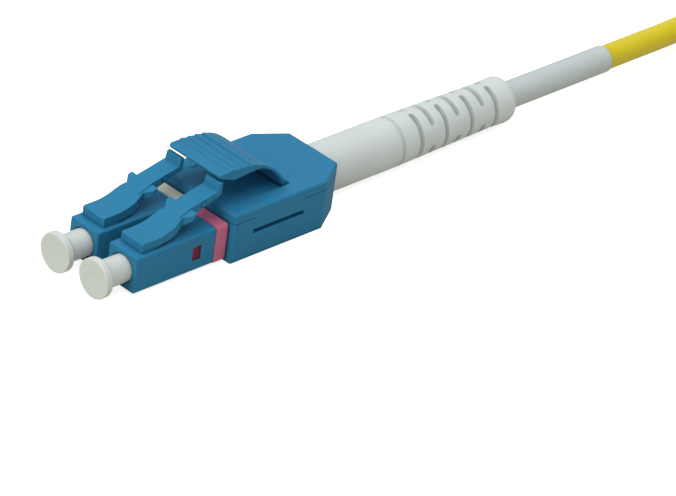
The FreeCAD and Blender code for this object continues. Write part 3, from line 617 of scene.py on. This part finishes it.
def makeCable(look, strap):
    points = cablePoints(look)
    cable = curveThrough("yellow_cable", points, look)
    cable.data.materials.append(finishes["jacket_yellow"])
    length = routeLength(cable)
    onIt = [strap]
    onIt += [piece for name, piece in nodes.items() if name.startswith("far_") and name != "far_cable"]
    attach(cable, "connector")
    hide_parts("cable", "cable_hank", "far_cable")
    print(f"cable: {length / mm:.0f} mm")


makeCable(cableLook, tieStrap)


# floor, light and camera

studio = {
    "floorTone": (0.70, 0.69, 0.62, 1),
    "floorRough": 0.5,
    "floorReach": 3.0,
    "backdropTone": (1, 1, 1, 1),
    "backdropLift": 0.8,  # a glow that the camera sees, but that lights nothing
    "worldTone": (0.96, 0.98, 1, 1),
    "worldStrength": 0.31,
}

lampLook = {
    "aim": (0.02, 0, 0),
    "key": {"place": (-0.14, 0.0, 0.60), "size": 0.95, "power": 3.9, "colour": (0.95, 0.97, 1)},
    "back": {"place": (0.42, 0.36, 0.36), "size": 0.50, "power": 0.312, "colour": (0.95, 0.98, 1)},
    "front": {"place": (-0.58, -0.02, 0.20), "size": 0.30, "power": 0.702, "colour": (1, 0.98, 0.80)},
}

# the long lens of a product shot: from the front left, about 31 degrees up, with a slight roll
cameraLook = {
    "azimuth": -48.59,
    "height": 30.87,
    "roll": -8.22,
    "distance": 500 * mm,
    "aimHeight": 2.6 * mm,
    "shiftAcross": 25.38 * mm,
    "shiftUp": 0.742 * mm,
    "sensor": 36,
    "lens": 247.5,
    "nearest": 10 * mm,
}


def makeFloor(look):
    made = newFinish("pale floor")
    paintSockets = {"Color": look["floorTone"], "Roughness": look["floorRough"]}
    paint = made.add("ShaderNodeBsdfDiffuse", {}, paintSockets)
    glowSockets = {"Color": look["backdropTone"], "Strength": look["backdropLift"]}
    glow = made.add("ShaderNodeEmission", {}, glowSockets)
    direct = made.add("ShaderNodeLightPath", {}, {}, "Is Camera Ray")
    passing = made.add("ShaderNodeLightPath", {}, {}, "Is Transmission Ray")
    lifted = made.add("ShaderNodeAddShader", {}, {0: paint, 1: glow})
    both = made.add("ShaderNodeMixShader", {}, {0: (direct + passing).clamped(0, 1), 1: paint, 2: lifted})
    made.add("ShaderNodeOutputMaterial", {}, {"Surface": both})
    reach = look["floorReach"]
    corners = [(-reach, -reach, 0), (reach, -reach, 0), (reach, reach, 0), (-reach, reach, 0)]
    mesh = bpy.data.meshes.new("floor")
    mesh.from_pydata(corners, [], [(0, 1, 2, 3)])
    mesh.materials.append(made.owner)
    floor = bpy.data.objects.new("floor", mesh)
    bpy.context.scene.collection.objects.link(floor)


def makeWorld(look):
    made = Finish(bpy.data.worlds.new("studio"))
    softSockets = {"Color": look["worldTone"], "Strength": look["worldStrength"]}
    soft = made.add("ShaderNodeBackground", {}, softSockets)
    plain = made.add("ShaderNodeBackground", {}, {"Color": look["backdropTone"], "Strength": 1})
    direct = made.add("ShaderNodeLightPath", {}, {}, "Is Camera Ray")
    both = made.add("ShaderNodeMixShader", {}, {0: direct, 1: soft, 2: plain})
    made.add("ShaderNodeOutputWorld", {}, {"Surface": both})
    bpy.context.scene.world = made.owner


def makeLamp(name, look, aim):
    data = bpy.data.lights.new(name, "AREA")
    data.shape = "DISK"
    data.size = look["size"]
    data.energy = look["power"]
    data.color = look["colour"]
    lamp = bpy.data.objects.new(name, data)
    lamp.location = look["place"]
    lamp.rotation_euler = (Vector(aim) - Vector(look["place"])).to_track_quat("-Z", "Y").to_euler()
    bpy.context.scene.collection.objects.link(lamp)


def makeCamera(look):
    azimuth, height, roll = (radians(look[turn]) for turn in ("azimuth", "height", "roll"))
    right = Vector((cos(azimuth), sin(azimuth), 0))
    back = Vector((sin(azimuth) * cos(height), -cos(azimuth) * cos(height), sin(height)))
    up = back.cross(right)
    across = right * cos(roll) - up * sin(roll)
    upward = right * sin(roll) + up * cos(roll)
    nose = Vector((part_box("plug_housing_a")[0].x, 0, look["aimHeight"]))
    place = nose + back * look["distance"] + across * look["shiftAcross"] + upward * look["shiftUp"]
    data = bpy.data.cameras.new("camera")
    data.sensor_width = look["sensor"]
    data.lens = look["lens"]
    data.clip_start = look["nearest"]
    camera = bpy.data.objects.new("camera", data)
    camera.matrix_world = Matrix.Translation(place) @ Matrix((across, upward, back)).transposed().to_4x4()
    bpy.context.scene.collection.objects.link(camera)
    bpy.context.scene.camera = camera


makeFloor(studio)
makeWorld(studio)
for lampName in ("key", "back", "front"):
    makeLamp(lampName, lampLook[lampName], lampLook["aim"])
makeCamera(cameraLook)
bpy.context.scene.view_settings.view_transform = "Standard"
print("stage, lamps and camera set")
